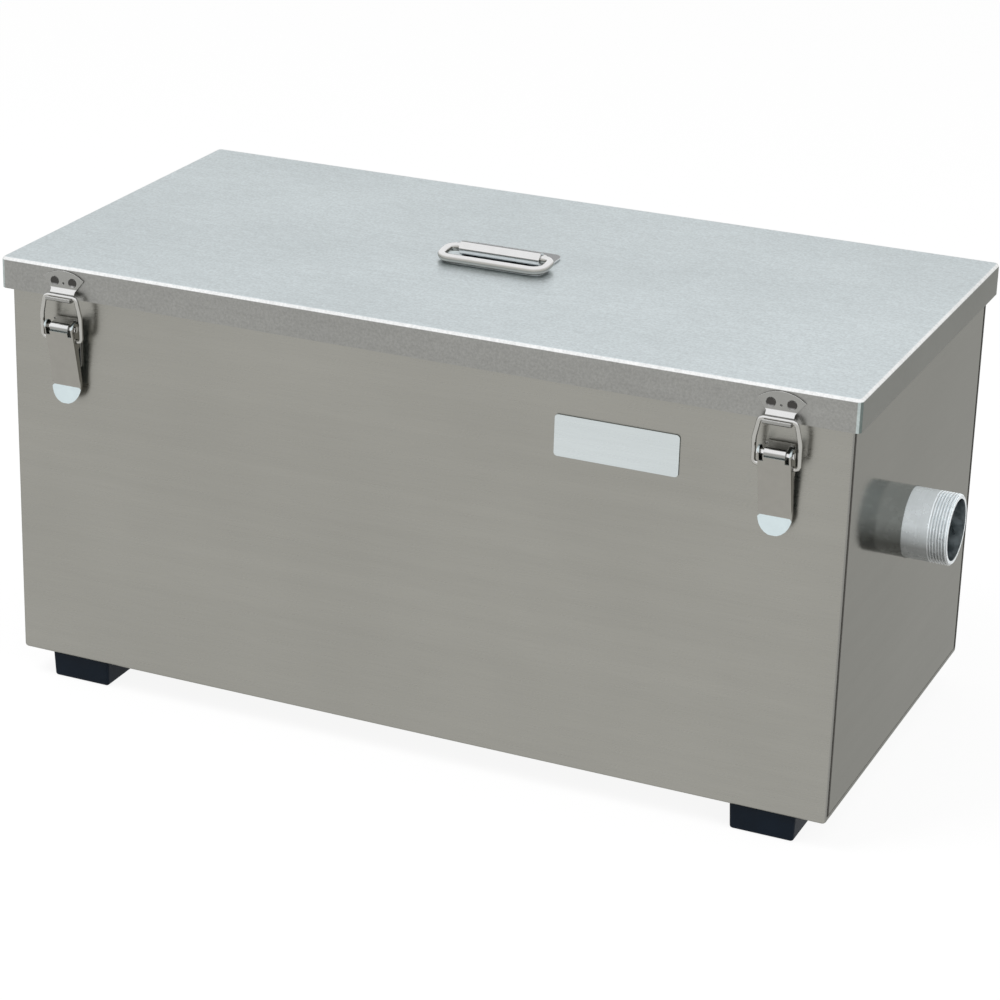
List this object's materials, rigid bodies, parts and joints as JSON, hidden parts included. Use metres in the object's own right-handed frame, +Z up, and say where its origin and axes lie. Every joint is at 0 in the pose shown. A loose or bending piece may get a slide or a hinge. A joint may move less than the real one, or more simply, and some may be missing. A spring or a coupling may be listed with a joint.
{
  "type": "grease trap",
  "caption": "Folded stainless steel grease trap on feet, with a lift-off lid held by toggle latches, threaded pipe ends, a strainer basket, baffles and a dip elbow.",
  "frame": {"origin": "middle of the outline in plan, on the floor that the feet stand on", "axes": "+Z up, +X from the inlet to the outlet, -Y towards the side seen with the badge's place"},
  "size_m": [0.661, 0.3316, 0.3229],
  "materials": {
    "tank_sheet": "fine horizontal brushing, warm grey",
    "inside_sheet": "mill finish",
    "lid_sheet": "pale satin, faint mottling",
    "zinc_pipe": "zinc coated pipe",
    "foot_rubber": "matt blue-black",
    "seal_rubber": "matt grey",
    "handle_chrome": "polished",
    "latch_chrome": "polished"
  },
  "bodies": {
    "tank": {"tank_wrapper": "tank_sheet", "end_panel_inlet": "tank_sheet", "end_panel_outlet": "tank_sheet", "baffle_inlet": "inside_sheet", "baffle_outlet": "inside_sheet", "guide_inlet_front": "inside_sheet", "guide_inlet_back": "inside_sheet", "guide_outlet_front": "inside_sheet", "guide_outlet_back": "inside_sheet", "basket_rail_front": "inside_sheet", "basket_rail_back": "inside_sheet", "strainer_basket": "inside_sheet", "nipple_inlet": "zinc_pipe", "nipple_outlet": "zinc_pipe", "dip_elbow": "zinc_pipe", "foot_front_inlet": "foot_rubber", "foot_front_outlet": "foot_rubber", "foot_back_inlet": "foot_rubber", "foot_back_outlet": "foot_rubber", "lid": "lid_sheet", "lid_gasket": "seal_rubber", "basket_handle": "inside_sheet", "handle_plate": "handle_chrome", "handle_rivet_inlet": "handle_chrome", "handle_rivet_outlet": "handle_chrome", "catch_front_inlet": "latch_chrome", "catch_rivet_front_inlet_a": "latch_chrome", "catch_rivet_front_inlet_b": "latch_chrome", "latch_base_front_inlet": "latch_chrome", "latch_pin_front_inlet": "latch_chrome", "catch_front_outlet": "latch_chrome", "catch_rivet_front_outlet_a": "latch_chrome", "catch_rivet_front_outlet_b": "latch_chrome", "latch_base_front_outlet": "latch_chrome", "latch_pin_front_outlet": "latch_chrome", "catch_back_inlet": "latch_chrome", "catch_rivet_back_inlet_a": "latch_chrome", "catch_rivet_back_inlet_b": "latch_chrome", "latch_base_back_inlet": "latch_chrome", "latch_pin_back_inlet": "latch_chrome", "catch_back_outlet": "latch_chrome", "catch_rivet_back_outlet_a": "latch_chrome", "catch_rivet_back_outlet_b": "latch_chrome", "latch_base_back_outlet": "latch_chrome", "latch_pin_back_outlet": "latch_chrome"},
    "lever_front_inlet": {"latch_lever_front_inlet": "latch_chrome"},
    "bail_front_inlet": {"latch_bail_front_inlet": "latch_chrome"},
    "lever_front_outlet": {"latch_lever_front_outlet": "latch_chrome"},
    "bail_front_outlet": {"latch_bail_front_outlet": "latch_chrome"},
    "lever_back_inlet": {"latch_lever_back_inlet": "latch_chrome"},
    "bail_back_inlet": {"latch_bail_back_inlet": "latch_chrome"},
    "lever_back_outlet": {"latch_lever_back_outlet": "latch_chrome"},
    "bail_back_outlet": {"latch_bail_back_outlet": "latch_chrome"},
    "lid_handle": {"handle_bail": "handle_chrome"}
  },
  "joints": [
    {"name": "lever_hinge_front_inlet", "type": "hinge", "parent": "tank", "child": "lever_front_inlet", "pos_m": [-0.255, -0.1615, 0.2718], "axis": [-1, 0, 0], "range_deg": [0, 90]},
    {"name": "bail_hinge_front_inlet", "type": "hinge", "parent": "lever_front_inlet", "child": "bail_front_inlet", "pos_m": [-0.255, -0.15994, 0.26294], "axis": [-1, 0, 0], "range_deg": [-69.5, 0]},
    {"name": "lever_hinge_front_outlet", "type": "hinge", "parent": "tank", "child": "lever_front_outlet", "pos_m": [0.255, -0.1615, 0.2718], "axis": [-1, 0, 0], "range_deg": [0, 90]},
    {"name": "bail_hinge_front_outlet", "type": "hinge", "parent": "lever_front_outlet", "child": "bail_front_outlet", "pos_m": [0.255, -0.15994, 0.26294], "axis": [-1, 0, 0], "range_deg": [-69.5, 0]},
    {"name": "lever_hinge_back_inlet", "type": "hinge", "parent": "tank", "child": "lever_back_inlet", "pos_m": [-0.255, 0.1615, 0.2718], "axis": [1, 0, 0], "range_deg": [0, 90]},
    {"name": "bail_hinge_back_inlet", "type": "hinge", "parent": "lever_back_inlet", "child": "bail_back_inlet", "pos_m": [-0.255, 0.15994, 0.26294], "axis": [1, 0, 0], "range_deg": [-69.5, 0]},
    {"name": "lever_hinge_back_outlet", "type": "hinge", "parent": "tank", "child": "lever_back_outlet", "pos_m": [0.255, 0.1615, 0.2718], "axis": [1, 0, 0], "range_deg": [0, 90]},
    {"name": "bail_hinge_back_outlet", "type": "hinge", "parent": "lever_back_outlet", "child": "bail_back_outlet", "pos_m": [0.255, 0.15994, 0.26294], "axis": [1, 0, 0], "range_deg": [-69.5, 0]},
    {"name": "handle_hinge", "type": "hinge", "parent": "tank", "child": "lid_handle", "pos_m": [0, -0.003, 0.3181], "axis": [-1, 0, 0], "range_deg": [0, 175]}
  ],
  "couplings": [
    {"joint": "bail_hinge_front_inlet", "follows": "lever_hinge_front_inlet", "ratio": -0.77},
    {"joint": "bail_hinge_front_outlet", "follows": "lever_hinge_front_outlet", "ratio": -0.77},
    {"joint": "bail_hinge_back_inlet", "follows": "lever_hinge_back_inlet", "ratio": -0.77},
    {"joint": "bail_hinge_back_outlet", "follows": "lever_hinge_back_outlet", "ratio": -0.77}
  ]
}
